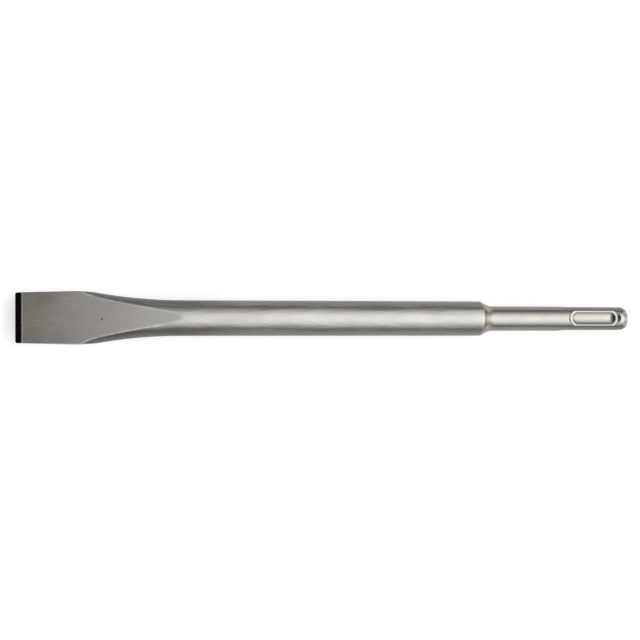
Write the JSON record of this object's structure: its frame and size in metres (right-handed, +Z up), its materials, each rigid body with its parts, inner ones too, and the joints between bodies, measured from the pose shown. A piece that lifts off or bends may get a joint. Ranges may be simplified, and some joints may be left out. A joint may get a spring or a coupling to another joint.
{
  "type": "sds flat chisel",
  "caption": "Forged flat chisel with a grooved quick-change shank for a rotary hammer, for chipping masonry and lifting tiles.",
  "frame": {"origin": "on the ground under the bar's axis, halfway along the tool: the centre of the bounding box's bottom", "axes": "+X along the bar from the cutting edge to the struck end, +Y across the blade, +Z up, square to the blade's flats"},
  "size_m": [0.25, 0.0204, 0.014],
  "materials": {
    "tool_steel": "fine blasted forged steel, plain turned shank, dark ground cutting edge"
  },
  "bodies": {
    "root": {"chisel": "tool_steel"}
  },
  "joints": []
}
